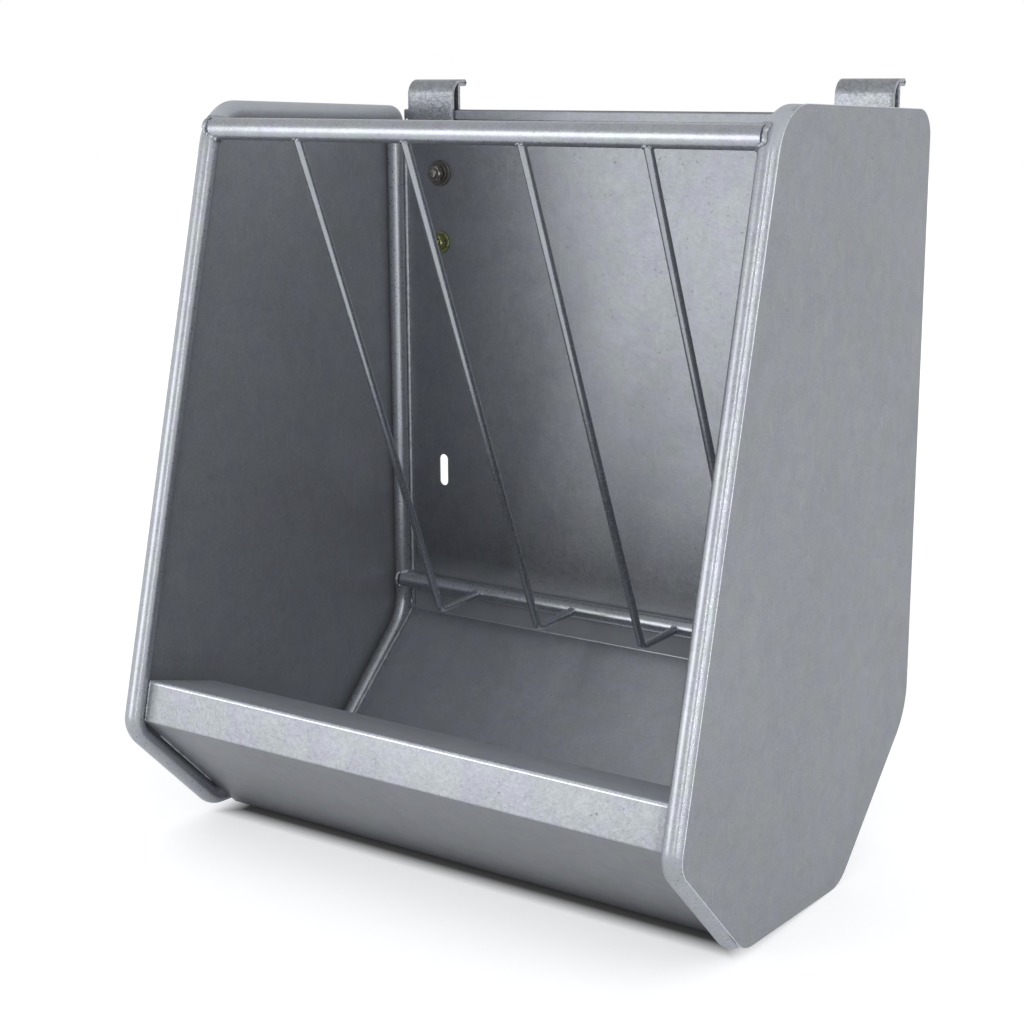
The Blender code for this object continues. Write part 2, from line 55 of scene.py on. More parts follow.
# Where the CAD model stands: the wall plane, and how far its heights were lowered onto the floor
HOOK_TOP = 0.8720
WALL_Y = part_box("side_sheet_left")[1].y
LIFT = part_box("hook_left")[1].z - HOOK_TOP

# Fineness of the meshes
ROUND_STEPS = 48
ARC_STEPS = 16
FOLD_STEPS = 8
HOOK_STEPS = 12
TUBE_STEP = 0.02         # longest piece of a straight tube or rod
BAR_PIECES = 120
PAN_COLUMNS = 40
HOOK_COLUMNS = 12

# Side frames; the corners are (depth from the wall plane, height), from the top front round by the wall
OVERALL_WIDTH = 0.740
WELD_GAP = 0.0003        # air between pieces that touch or are welded in the real feeder
SAME_PLACE = 1e-6
SHEET_CORNERS = (
    (-0.3470, 0.8520),
    (0.0, 0.8395),
    (0.0, 0.1580),
    (-0.1665, 0.0),
    (-0.3920, 0.0105),
    (-0.5245, 0.1430),
)
SHEET_RADII = (0.060, 0.030, 0.080, 0.050, 0.046, 0.030)
TUBE_BENDS = (0.048, 0.013, 0.069, 0.040, 0.036, 0.030)
TUBE_INSETS = (0.011, 0.011, 0.011, 0.011, 0.0038, 0.0038)
TOP_FRONT, FLOOR_FORE, FORE = 0, 4, 5     # the corners that other forms go by
SIDE_SHEET = 0.0020
SHEET_EDGE = 0.0006      # how far its edges are rounded, as for the other sheets below
TUBE_RADIUS = 0.0110
TUBE_SKIN = 0.0107       # drawn radius, inside the faceted solid's box
TUBE_X = OVERALL_WIDTH / 2 - SIDE_SHEET - WELD_GAP - TUBE_RADIUS
INNER_X = TUBE_X - TUBE_RADIUS
SIDES = (("left", -1.0), ("right", 1.0))

# The seam between the front edge of a side sheet and the tube ahead of it
SEAM_STEP = 0.003        # between its rings
SEAM_START = 8           # rings left out at its lower end
SEAM_PAST_CORNER = 3     # points beyond the middle of the top corner
SEAM_TAPER = 12          # rings over which each end runs out
SEAM_INSET = 0.00045     # from the outside of the sheet
SEAM_WIDTH = 0.0042
SEAM_REACH = 0.97        # widest toe, as a share of the tube's radius
SEAM_END = 0.25          # share of the width that is left at each end
SEAM_CURVE = 0.75        # how much of the fall is round; the rest is straight
SEAM_COLUMNS = 8
SEAM_OVERLAP = 0.0002    # onto the sheet
SEAM_SINK = 0.0003       # into the tube
SEAM_ROOTS = ((0.0008, 0.0025), (0.0016, 0.0014))     # its hidden edges, inwards from toe and rim
SEAM_WAVE = 0.00022
SEAM_RIPPLE = 0.31
SEAM_SEED = 7.0

# Bars and rods
TOP_BAR_RADIUS = 0.0125
TOP_BAR_HEIGHT = 0.8195
LOWER_BAR_RADIUS = 0.0110
LOWER_BAR = (-0.0149, 0.2120)
BAR_IN_TUBE = 0.006      # how far a bar's drawn end runs into the side tube
ROD_RADIUS = 0.0050
ROD_SKIN = 0.00495       # drawn radius
ROD_SIDES = 24
ROD_SPACING = 0.1500
ROD_COUNT = 4
ROD_TOP_LEAD = 0.0050
ROD_TOP_DROP = 0.0050
ROD_KNEE = (-0.1030, 0.2090)
ROD_KNEE_BEND = 0.0120

# Trough pan and back panel
PAN_SHEET = 0.0015
PAN_EDGE = 0.0004
PAN_FOLD_HEIGHT = 0.1685
PAN_REAR_FLANGE = 0.0240
PAN_HEEL = Vector((-WELD_GAP, PAN_FOLD_HEIGHT))
PAN_FLOOR_REAR = Vector((-0.1860, 0.0020))
PAN_FLOOR_FRONT_HEIGHT = 0.0080
BAND_SETBACK = 0.0045
BAND_TOP = 0.2000
RIM_DEPTH = 0.1050
RIM_FALL = 0.0285
FOLD_RADIUS = 0.0040
PANEL_REAR = -0.0021
PANEL_SHEET = 0.0015
PANEL_EDGE = 0.0003

# Hooks
HOOK_OFFSET = 0.2970
HOOK_WIDTH = 0.0700
HOOK_STRAP = 0.0040
HOOK_SKIN = 0.0039       # drawn thickness
HOOK_EDGE = 0.0006
HOOK_FRONT_END = 0.8030
HOOK_REAR_END = 0.6380
HOOK_FRONT_BEND = 0.0170
HOOK_SADDLE = 0.0170
HOOK_NOSE = 0.0310
HOOK_FOLD = 0.00225
HOOK_TIGHT = 0.999       # share of the fold's radius, so that its two bends don't meet

# Bolts, nuts and washers; a washer is a name and a radius
BOLT_OFFSET = 0.2910
BOLT_RADIUS = 0.0060
BOLT_END = 0.0037        # ahead of the nut
BOLT_PITCH = 0.00175
BOLT_TIP = 0.0002        # from the bolt's end to its drawn tip, and to its first thread
THREAD_START = 0.0010
THREAD_TURNS = 10
THREAD_CREST = 0.985     # shares of the bolt's radius
THREAD_ROOT = 0.86
THREAD_TIP = 0.74
HEAD_RADIUS = 0.0130
HEAD_HEIGHT = 0.0065
HEAD_STEPS = 12
NUT_FLATS = 0.0190
NUT_HEIGHT = 0.0100
NUT_FACE = 0.94          # width of its chamfered face, as a share of the flats
NUT_CHAMFER = 0.0012
NUT_COUNTERSINK = 0.0006
NUT_MOUTH = 0.0010
WASHER_THICKNESS = 0.0025
WASHER_EDGE = 0.0004
WASHERS_UPPER = (("wide_washer_", 0.0165), ("small_washer_", 0.0125))
WASHERS_LOWER = (("washer_", 0.0140),)

# Weld beads: radius, lumpiness and spacing of the rings, then where they lie
BAR_BEAD = (0.0024, 0.6, 0.0012)
ROD_TOP_BEAD = (0.0013, 0.8, 0.0012)
ROD_LOW_BEAD = (0.0012, 0.7, 0.0012)
BAND_BEAD = (0.0017, 0.8, 0.0012)
SLANT_BEAD = (0.0011, 1.1, 0.0012)
HEEL_BEAD = (0.0034, 0.2, 0.003)
PANEL_BEAD = (0.0034, 0.12, 0.004)
ROD_SEEDS = (100, 200)
PAN_SEEDS = (300, 310, 320)
PANEL_SEED = 320
BEAD_SIDES = 10
BEAD_RIPPLE = 0.42       # steps through the noise along the bead, and finer ones along and round it
BEAD_GRAIN = 0.9
BEAD_GRAIN_ROUND = 0.8
BEAD_END = 0.35          # share of the radius at an open end, and what each ring adds
BEAD_TAPER = 0.25
BAR_BEAD_LIFT = 0.0002
ROD_BEAD_LEAD = 0.6      # share of the rod's own lead
ROD_BEAD_LEAN = 0.2
ROD_BEAD_DROP = 0.0005
BAND_BEAD_INSET = 0.0001
BAND_BEAD_SETBACK = 0.0010
SLANT_BEAD_INSET = 0.0012
SLANT_BEAD_LIFT = 0.0006
SLANT_BEAD_SPAN = (0.16, 0.71)
HEEL_BEAD_OUT = 0.0026   # past the pan's side, into the groove beside the tube
HEEL_BEAD_LIFT = 0.0022
HEEL_BEAD_SPAN = (0.0, 0.80)
HEEL_BEAD_LEAD = 0.0038
HEEL_BEAD_RISES = (0.018, 0.004)
PANEL_BEAD_OUT = 0.0030
PANEL_BEAD_LEAD = 0.0020
PANEL_BEAD_FOOT = 0.004
PANEL_BEAD_HEAD = 0.012

# Where the zinc of the pan changes; the rim's lighter and the slope's darker zinc are painted light and
# shade, the fold's bright zinc a painted highlight
FOLD_HIGHLIGHT_REACH = 1.3          # reach of the painted highlight on the fold at the band's head, in fold radii
BAND_TRIM = 0.2          # kept off the band's foot and head, in fold radii
BAND_DEPTH = 0.04
RIM_MARGIN = 0.004
FRONT_MARGIN = 0.03      # behind the rim's rear edge


# Node helpers
class Nodes:
    """Short calls for adding and wiring the nodes of a material or of the world."""

    def __init__(self, owner, output):
        owner.use_nodes = True
        self.tree = owner.node_tree
        self.tree.nodes.clear()
        self.output = self.node(output).inputs["Surface"]

    def node(self, kind, **settings):
        made = self.tree.nodes.new(kind)
        for key, value in settings.items():
            setattr(made, key, value)
        return made

    def feed(self, socket, value):
        if isinstance(value, bpy.types.NodeSocket):
            self.tree.links.new(value, socket)
        else:
            socket.default_value = value

    def split(self, vector):
        made = self.node("ShaderNodeSeparateXYZ")
        self.feed(made.inputs[0], vector)
        return made.outputs

    def math(self, operation, first, second=0.0, clamp=False):
        made = self.node("ShaderNodeMath", operation=operation, use_clamp=clamp)
        self.feed(made.inputs[0], first)
        self.feed(made.inputs[1], second)
        return made.outputs[0]

    def ramp(self, value, low, high, out_low=0.0, out_high=1.0):
        made = self.node("ShaderNodeMapRange", clamp=True)
        self.feed(made.inputs["Value"], value)
        made.inputs["From Min"].default_value = low
        made.inputs["From Max"].default_value = high
        made.inputs["To Min"].default_value = out_low
        made.inputs["To Max"].default_value = out_high
        return made.outputs["Result"]

    def shown_rays(self, glossy_share):
        """1 for rays from the camera and through glass, the share for reflected ones, and 0 for the rest."""
        path = self.node("ShaderNodeLightPath")
        glossy = self.math("MULTIPLY", path.outputs["Is Glossy Ray"], glossy_share)
        shown = self.math("MAXIMUM", path.outputs["Is Camera Ray"], glossy)
        return self.math("MAXIMUM", shown, path.outputs["Is Transmission Ray"])


class Shader(Nodes):
    """The node tree of a new material with one principled surface."""

    def __init__(self, name):
        self.material = bpy.data.materials.new(name)
        super().__init__(self.material, "ShaderNodeOutputMaterial")
        self.surface = self.node("ShaderNodeBsdfPrincipled")
        self.feed(self.output, self.surface.outputs[0])
        self.place = self.node("ShaderNodeTexCoord").outputs["Object"]

    def noise(self, scale, detail=4.0, roughness=0.55, distortion=0.0, place=None):
        made = self.node("ShaderNodeTexNoise")
        self.feed(made.inputs["Vector"], place or self.place)
        made.inputs["Scale"].default_value = scale
        made.inputs["Detail"].default_value = detail
        made.inputs["Roughness"].default_value = roughness
        made.inputs["Distortion"].default_value = distortion
        return made.outputs["Fac"]

    def cells(self, scale, place):
        made = self.node("ShaderNodeTexVoronoi", feature="F1")
        self.feed(made.inputs["Vector"], place)
        made.inputs["Scale"].default_value = scale
        made.inputs["Randomness"].default_value = 1.0
        return made.outputs["Distance"], made.outputs["Color"]

    def stretched(self, x, y, z):
        made = self.node("ShaderNodeVectorMath", operation="MULTIPLY")
        self.feed(made.inputs[0], self.place)
        made.inputs[1].default_value = (x, y, z)
        return made.outputs[0]

    def wobbled(self, scale, amount):
        """Coordinates pushed about by a noise, so that cells get ragged edges."""
        push = self.node("ShaderNodeTexNoise")
        self.feed(push.inputs["Vector"], self.place)
        push.inputs["Scale"].default_value = scale
        push.inputs["Detail"].default_value = 3.0
        centre = self.node("ShaderNodeVectorMath", operation="SUBTRACT")
        self.feed(centre.inputs[0], push.outputs["Color"])
        centre.inputs[1].default_value = (0.5, 0.5, 0.5)
        sized = self.node("ShaderNodeVectorMath", operation="SCALE")
        self.feed(sized.inputs[0], centre.outputs[0])
        sized.inputs["Scale"].default_value = amount
        moved = self.node("ShaderNodeVectorMath", operation="ADD")
        self.feed(moved.inputs[0], self.place)
        self.feed(moved.inputs[1], sized.outputs[0])
        return moved.outputs[0]

    def blend(self, share, first, second):
        made = self.node("ShaderNodeMix", data_type="RGBA")
        self.feed(made.inputs["Factor"], share)
        self.feed(made.inputs["A"], first)
        self.feed(made.inputs["B"], second)
        return made.outputs["Result"]

    def grey(self, colour):
        made = self.node("ShaderNodeRGBToBW")
        self.feed(made.inputs[0], colour)
        return made.outputs[0]

    def bump(self, height, strength, distance, normal=None):
        made = self.node("ShaderNodeBump")
        self.feed(made.inputs["Height"], height)
        made.inputs["Strength"].default_value = strength
        made.inputs["Distance"].default_value = distance
        if normal is not None:
            self.feed(made.inputs["Normal"], normal)
        return made.outputs["Normal"]

    def finish(self, colour, metallic, roughness, normal):
        self.feed(self.surface.inputs["Base Color"], colour)
        self.feed(self.surface.inputs["Metallic"], metallic)
        self.feed(self.surface.inputs["Roughness"], roughness)
        self.feed(self.surface.inputs["Normal"], normal)
        return self.material


# Materials
DULL_SHARE = 0.72        # how much of its metal look the matt zinc loses, where its colour also gets painted light
# painted light: the factor by which the matt zinc's grey is lifted
PAINTED_LIGHT_LIFT = 1.30
DULL_ROUGH = 0.14
TINT_SHARE = 0.16


def grey_of(level):
    return (level, level, level, 1.0)


def tone(level, warmth=0.0):
    """A zinc grey: slightly blue, or warmer with a positive warmth."""
    return (level * (0.935 + warmth), level * (0.985 + warmth * 0.4), level * (1.06 - warmth), 1.0)


def dots(s, scale, radius, share, place):
    """Sparse round specks: the cells of a grid of the given scale whose random number is under share."""
    distance, colour = s.cells(scale, place)
    lot = s.math("LESS_THAN", s.grey(colour), share)
    return s.math("MULTIPLY", s.ramp(distance, radius * 0.45, radius, 1.0, 0.0), lot)


def matt_with_painted_light(s, cloud, heights, level, colour, metal, roughness):
    """The zinc turns matt and its colour lighter from the first of the two heights to the second, and stays
    so beyond it.
    The lighter grey is painted light on the shaded tops of the tubes and on the shaded strip of the panel
    below the lower bar."""
    height = s.math("ADD", s.split(s.place)["Z"], s.math("MULTIPLY", cloud, 0.02))
    lit_matt = s.ramp(height, *heights)
    kept = s.math("SUBTRACT", 1.0, s.math("MULTIPLY", lit_matt, DULL_SHARE))
    # painted light: the colour blends towards a lighter grey
    colour = s.blend(s.math("MULTIPLY", lit_matt, 0.6), colour, tone(level * PAINTED_LIGHT_LIFT))
    roughness = s.math("ADD", roughness, s.math("MULTIPLY", lit_matt, DULL_ROUGH))
    return colour, s.math("MULTIPLY", kept, metal), roughness


def zinc_material(name, level, metal, rough, grain, speck, spangle, crystal, streaks, ripple, lit_matt=None):
    """Hot-dip zinc. level is the grey, grain the contrast of the fine mottle and speck that of the sparse
    dots; spangle is the crystal size in metres and crystal its contrast; streaks are the short marks left
    by draining and ripple the depth of the frozen surface. The last argument gives the heights where the
    zinc turns matt and gets a painted lighter grey in place of light."""
    s = Shader(name)
    ragged = s.wobbled(0.8 / spangle, spangle * 0.8)
    near, cell = s.cells(1.0 / spangle, ragged)
    shade = s.grey(cell)
    cloud = s.noise(5.0, 3.0, 0.55, 0.6)
    bloom = s.noise(42.0, 3.0, 0.6, 0.8)
    mottle = s.noise(300.0, 3.0, 0.7)
    fleck = s.noise(720.0, 2.0, 0.75)
    drain = s.noise(1.0, 3.0, 0.55, 0.2, s.stretched(300.0, 300.0, 26.0))
    drain = s.ramp(drain, 0.56, 0.74)
    patch = s.ramp(s.noise(22.0, 3.0), 0.44, 0.66)
    light_dots = dots(s, 260.0, 0.34, 0.22, s.wobbled(90.0, 0.008))
    dark_dots = dots(s, 170.0, 0.26, 0.22, s.wobbled(60.0, 0.012))
    value = s.math("MULTIPLY", s.math("SUBTRACT", shade, 0.5), crystal)
    for amount, pattern in ((grain, mottle), (grain * 0.7, fleck), (0.22, cloud), (0.34, bloom)):
        value = s.math("ADD", value, s.math("MULTIPLY", s.math("SUBTRACT", pattern, 0.5), amount))
    for amount, pattern in ((speck, light_dots), (-speck, dark_dots), (streaks, drain)):
        lit = s.math("MULTIPLY", pattern, patch)
        value = s.math("ADD", value, s.math("MULTIPLY", lit, amount))
    value = s.math("ADD", value, 0.5, clamp=True)
    colour = s.blend(value, tone(level * 0.50), tone(level * 1.50))
    violet = s.blend(TINT_SHARE, colour, (level, level * 0.90, level * 1.30, 1.0))
    green = s.blend(TINT_SHARE, colour, (level * 0.96, level * 1.08, level * 0.96, 1.0))
    colour = s.blend(s.ramp(s.noise(34.0, 2.0), 0.40, 0.60), violet, green)
    roughness = s.math("ADD", s.ramp(mottle, 0.3, 0.7, rough - 0.06, rough + 0.06),
                       s.math("MULTIPLY", dark_dots, 0.10))
    normal = s.bump(s.noise(0.5 / spangle, 4.0, 0.6, 0.5), ripple, 0.0010)
    normal = s.bump(near, ripple * 0.35, 0.0004, normal)
    normal = s.bump(s.math("SUBTRACT", light_dots, dark_dots), 0.25, 0.00025, normal)
    normal = s.bump(mottle, 0.14, 0.0004, normal)
    # painted light: past the given heights the zinc turns matt and lighter
    if lit_matt:
        colour, metal, roughness = matt_with_painted_light(s, cloud, lit_matt, level, colour, metal, roughness)
    return s.finish(colour, metal, roughness, normal)


def weld_material(name, level):
    s = Shader(name)
    lump = s.noise(520.0, 4.0, 0.6, 0.5)
    stain = s.noise(140.0, 3.0, 0.6)
    colour = s.blend(s.ramp(stain, 0.3, 0.7), tone(level * 0.72, 0.01), tone(level * 1.25))
    roughness = s.ramp(lump, 0.3, 0.7, 0.28, 0.52)
    normal = s.bump(lump, 0.55, 0.0008)
    return s.finish(colour, 0.85, roughness, normal)


DIRT = (0.10, 0.095, 0.085, 1.0)
RUBBED = (0.50, 0.49, 0.46, 1.0)


def plated_material(name, light, dark, rough):
    """Electroplated fixings: a thin film with rubbed edges and a little dirt."""
    s = Shader(name)
    film = s.noise(160.0, 5.0, 0.6, 0.8)
    dirt = s.noise(60.0, 4.0, 0.65)
    geometry = s.node("ShaderNodeNewGeometry")
    edge = s.ramp(geometry.outputs["Pointiness"], 0.52, 0.62)
    colour = s.blend(s.ramp(film, 0.3, 0.7), dark, light)
    colour = s.blend(s.ramp(dirt, 0.52, 0.75, 0.0, 0.55), colour, DIRT)
    colour = s.blend(s.math("MULTIPLY", edge, 0.30), colour, RUBBED)
    roughness = s.ramp(film, 0.25, 0.75, rough - 0.06, rough + 0.12)
    normal = s.bump(s.noise(700.0, 3.0), 0.16, 0.0003)
    return s.finish(colour, 0.9, roughness, normal)


SHEET_ZINC = zinc_material("sheet_zinc", level=0.31, metal=0.50, rough=0.44, grain=0.56, speck=0.32,
                           spangle=0.0060, crystal=0.05, streaks=0.20, ripple=0.10)
PAN_ZINC = zinc_material("pan_zinc", level=0.48, metal=0.84, rough=0.38, grain=0.44, speck=0.22,
                         spangle=0.0060, crystal=0.05, streaks=0.14, ripple=0.10)
# painted shade: a darker copy of the pan's zinc for the front slope
SLANT_SHADED_ZINC = zinc_material("slant_shaded_zinc", level=0.265, metal=0.78, rough=0.42, grain=0.50, speck=0.28,
                           spangle=0.0060, crystal=0.05, streaks=0.14, ripple=0.12)
# painted light: a more matt copy of the pan's zinc, lighter than the band and slope beside it, for the rim
RIM_LIT_ZINC = zinc_material("rim_lit_zinc", level=0.46, metal=0.36, rough=0.44, grain=0.50, speck=0.30,
                         spangle=0.0060, crystal=0.08, streaks=0.10, ripple=0.16)
# painted light: the panel's strip below the lower bar gets a lighter, matt grey
PANEL_ZINC = zinc_material("panel_zinc", level=0.262, metal=0.92, rough=0.36, grain=0.50, speck=0.32,
                           spangle=0.0060, crystal=0.05, streaks=0.18, ripple=0.10, lit_matt=(0.262, 0.212))
BAND_ZINC = zinc_material("band_zinc", level=0.34, metal=0.62, rough=0.40, grain=0.90, speck=0.60,
                          spangle=0.0034, crystal=0.22, streaks=0.04, ripple=0.44)
# painted light: the top runs of the tubes get a lighter, matt grey
TUBE_ZINC = zinc_material("tube_zinc", level=0.41, metal=0.70, rough=0.31, grain=0.50, speck=0.12,
                          spangle=0.0050, crystal=0.06, streaks=0.06, ripple=0.20, lit_matt=(0.812, 0.836))
# bright zinc: edge wear with a painted highlight, and a painted highlight on the fold at the band's head
WORN_AND_HIGHLIGHT_ZINC = zinc_material("worn_and_highlight_zinc", level=0.72, metal=0.72, rough=0.30, grain=0.60, speck=0.30,
                          spangle=0.0050, crystal=0.10, streaks=0.02, ripple=0.20)
BAR_ZINC = zinc_material("bar_zinc", level=0.45, metal=0.82, rough=0.31, grain=0.50, speck=0.30,
                         spangle=0.0050, crystal=0.06, streaks=0.06, ripple=0.18)
ROD_ZINC = zinc_material("rod_zinc", level=0.42, metal=0.84, rough=0.23, grain=0.28, speck=0.14,
                         spangle=0.0040, crystal=0.04, streaks=0.06, ripple=0.12)
HOOK_ZINC = zinc_material("hook_zinc", level=0.36, metal=0.84, rough=0.34, grain=0.60, speck=0.44,
                          spangle=0.0030, crystal=0.52, streaks=0.06, ripple=0.50)
WELD_ZINC = weld_material("weld_zinc", 0.42)
NUT_PLATE = plated_material("nut_plate", (0.30, 0.285, 0.26, 1.0), (0.09, 0.085, 0.078, 1.0), 0.24)
WASHER_PLATE = plated_material("washer_plate", (0.13, 0.125, 0.115, 1.0), (0.055, 0.052, 0.048, 1.0), 0.28)
YELLOW_PLATE = plated_material("yellow_plate", (0.32, 0.34, 0.13, 1.0), (0.13, 0.14, 0.06, 1.0), 0.24)


# Side view geometry
def world(x, point):
    """The place in the scene of a (depth, height) point at an X; nothing goes below the floor."""
    return (x, point[0] + WALL_Y, max(point[1] + LIFT, 0.0))


def evenly(low, high, pieces):
    """The ends and the inner steps of a range cut into equal pieces."""
    return [low + (high - low) * k / pieces for k in range(pieces + 1)]


def turn_angles(steps):
    return [2 * math.pi * k / steps for k in range(steps)]


def circle(centre, radius):
    return [Vector((centre[0] + radius * math.cos(angle), centre[1] + radius * math.sin(angle)))
            for angle in turn_angles(ROUND_STEPS)]


def crossing(p, u, q, v):
    """Where the line from p along u meets the line from q along v."""
    cross = u.x * v.y - u.y * v.x
    return p + u * (((q.x - p.x) * v.y - (q.y - p.y) * v.x) / cross)


def offset_corners(corners, insets):
    """The corners of a closed outline whose sides move inwards by their own insets."""
    count = len(corners)
    area = sum(corners[i - 1][0] * corners[i][1] - corners[i][0] * corners[i - 1][1] for i in range(count))
    turn = 1.0 if area > 0 else -1.0
    sides = []
    for i in range(count):
        start = Vector(corners[i])
        along = (Vector(corners[(i + 1) % count]) - start).normalized()
        inward = Vector((-along.y, along.x)) * turn
        sides.append((start + inward * insets[i], along))
    return [crossing(*sides[i - 1], *sides[i]) for i in range(count)]


def rounded_path(corners, radii, closed, steps=ARC_STEPS):
    """The corners joined by straight runs, each corner rounded by an arc of its own radius."""
    points = []
    count = len(corners)
    for i, corner in enumerate(corners):
        corner = Vector(corner)
        radius = radii[i]
        if radius == 0.0 or (not closed and i in (0, count - 1)):
            points.append(corner)
            continue
        back = (Vector(corners[i - 1]) - corner).normalized()
        ahead = (Vector(corners[(i + 1) % count]) - corner).normalized()
        half = back.angle(ahead) / 2
        centre = corner + (back + ahead).normalized() * (radius / math.sin(half))
        tangent = radius / math.tan(half)
        first = corner + back * tangent - centre
        second = corner + ahead * tangent - centre
        turn = first.x * second.y - first.y * second.x
        sweep = (math.pi - 2 * half) * (1.0 if turn > 0 else -1.0)
        for angle in evenly(0.0, sweep, steps):
            points.append(centre + Vector((first.x * math.cos(angle) - first.y * math.sin(angle),
                                           first.x * math.sin(angle) + first.y * math.cos(angle))))
    return points


def line_y(first, second, height):
    """The depth of a line at a height."""
    share = (height - first[1]) / (second[1] - first[1])
    return first[0] + (second[0] - first[0]) * share


def nearest_on_loop(spot, loop):
    """The point of a closed path that is nearest to the spot."""
    best = None
    for i in range(len(loop)):
        first, second = Vector(loop[i - 1]), Vector(loop[i])
        run = second - first
        share = min(1.0, max(0.0, (spot - first).dot(run) / max(run.length_squared, SAME_PLACE ** 2)))
        here = first + run * share
        if best is None or (here - spot).length < (best - spot).length:
            best = here
    return best


def subdivided(path, spacing, closed=False, whole=math.ceil):
    """The path with its straight runs cut into pieces of about the spacing; whole rounds their number."""
    points = []
    count = len(path)
    for i in range(count if closed else count - 1):
        start, end = Vector(path[i]), Vector(path[(i + 1) % count])
        pieces = max(1, whole((end - start).length / spacing))
        points += [start.lerp(end, k / pieces) for k in range(pieces)]
    if not closed:
        points.append(Vector(path[-1]))
    return points


def headings(path, closed):
    """The direction of a path at each of its points."""
    count = len(path)
    found = []
    for i in range(count):
        before = path[i - 1] if closed or i > 0 else path[i]
        after = path[(i + 1) % count] if closed or i < count - 1 else path[i]
        found.append((after - before).normalized())
    return found


TUBE_CORNERS = offset_corners(SHEET_CORNERS, TUBE_INSETS)
TUBE_LOOP = rounded_path(TUBE_CORNERS, TUBE_BENDS, True)
SHEET_LOOP = rounded_path(SHEET_CORNERS, SHEET_RADII, True)
TOP_BAR = (line_y(TUBE_CORNERS[FORE], TUBE_CORNERS[TOP_FRONT], TOP_BAR_HEIGHT), TOP_BAR_HEIGHT)


# Building and registering pieces
def add_piece(name, shape, material, replaced=(), smooth_angle=35.0):
    bmesh.ops.remove_doubles(shape, verts=shape.verts, dist=SAME_PLACE)
    bmesh.ops.recalc_face_normals(shape, faces=shape.faces)
    mesh = bpy.data.meshes.new(name)
    shape.to_mesh(mesh)
    shape.free()
    return register(name, mesh, material, replaced, smooth_angle)


def register(name, mesh, material, replaced=(), smooth_angle=35.0):
    mesh.polygons.foreach_set("use_smooth", [True] * len(mesh.polygons))
    mesh.set_sharp_from_angle(angle=math.radians(smooth_angle))
    piece = bpy.data.objects.new(name, mesh)
    bpy.context.scene.collection.objects.link(piece)
    mesh.materials.append(material)
    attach(piece, "root")
    if replaced:
        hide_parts(*replaced)
    return piece


def soften(piece, width, angle):
    """Round the edges of a piece, and give the rounded faces a bright zinc: edge wear with a painted
    highlight.
    """
    step = piece.modifiers.new("edge", "BEVEL")
    step.width = width
    step.segments = 2
    step.limit_method = "ANGLE"
    step.angle_limit = math.radians(angle)
    # painted highlight and wear: the rounded edges get the bright zinc
    piece.data.materials.append(WORN_AND_HIGHLIGHT_ZINC)
    step.material = len(piece.data.materials) - 1


def join_rings(shape, rings, closed=False):
    """Faces between neighbouring rings of vertices. A ring that is one point repeated makes a tip; an
    open run of rings is capped at its other ends."""
    following = rings[1:] + rings[:1] if closed else rings[1:]
    for first, second in zip(rings, following):
        for k in range(len(first)):
            j = (k + 1) % len(first)
            shape.faces.new(list(dict.fromkeys((first[k], first[j], second[j], second[k]))))
    if not closed:
        for ring in (rings[0], rings[-1]):
            if ring[0] != ring[1]:
                shape.faces.new(ring)


def tube(shape, path, x, radius, sides, closed):
    """A round tube of one X along a path in the side view."""
    rings = []
    for point, along in zip(path, headings(path, closed)):
        across = Vector((-along.y, along.x))
        rings.append([shape.verts.new(world(x + radius * math.cos(angle),
                                            point + across * (radius * math.sin(angle))))
                      for angle in turn_angles(sides)])
    join_rings(shape, rings, closed)


def bead(name, points, form, seed, closed=False):
    """A weld bead: a rope of small frozen ripples along world points."""
    radius, lumps, spacing = form
    drift = random.Random(seed).uniform(0, 50)
    path = subdivided(points, spacing, closed, round)
    shape = bmesh.new()
    rings = []
    for i, (point, along) in enumerate(zip(path, headings(path, closed))):
        side = along.orthogonal().normalized()
        if abs(along.x) < 0.9:
            side = along.cross(Vector((1.0, 0.0, 0.0))).normalized()
        up = along.cross(side)
        ripple = 1.0 + lumps * noise.noise(Vector((i * BEAD_RIPPLE, drift, 0.0)))
        from_end = min(i, len(path) - 1 - i)
        taper = 1.0 if closed else min(1.0, BEAD_END + BEAD_TAPER * from_end)
        ring = []
        for k, angle in enumerate(turn_angles(BEAD_SIDES)):
            rough = 1.0 + lumps * 0.5 * noise.noise(Vector((i * BEAD_GRAIN, drift, k * BEAD_GRAIN_ROUND)))
            reach = radius * ripple * rough * taper
            away = side * (reach * math.cos(angle)) + up * (reach * math.sin(angle))
            ring.append(shape.verts.new(point + away))
        rings.append(ring)
    join_rings(shape, rings, closed)
    add_piece(name, shape, WELD_ZINC, smooth_angle=80.0)


# Side frames
def make_side_frames():
    path = subdivided(TUBE_LOOP, TUBE_STEP, closed=True)
    for label, side in SIDES:
        shape = bmesh.new()
        tube(shape, path, side * TUBE_X, TUBE_SKIN, ROUND_STEPS, True)
        add_piece("tube_skin_" + label, shape, TUBE_ZINC, ("side_tube_" + label,))
        shape = bmesh.new()
        rings = [[shape.verts.new(world(side * x, point)) for point in SHEET_LOOP]
                 for x in (OVERALL_WIDTH / 2 - SIDE_SHEET, OVERALL_WIDTH / 2)]
        join_rings(shape, rings)
        sheet = add_piece("sheet_skin_" + label, shape, SHEET_ZINC,
                          ("side_sheet_" + label,))
        soften(sheet, SHEET_EDGE, 40.0)
        make_frame_seam(label, side)


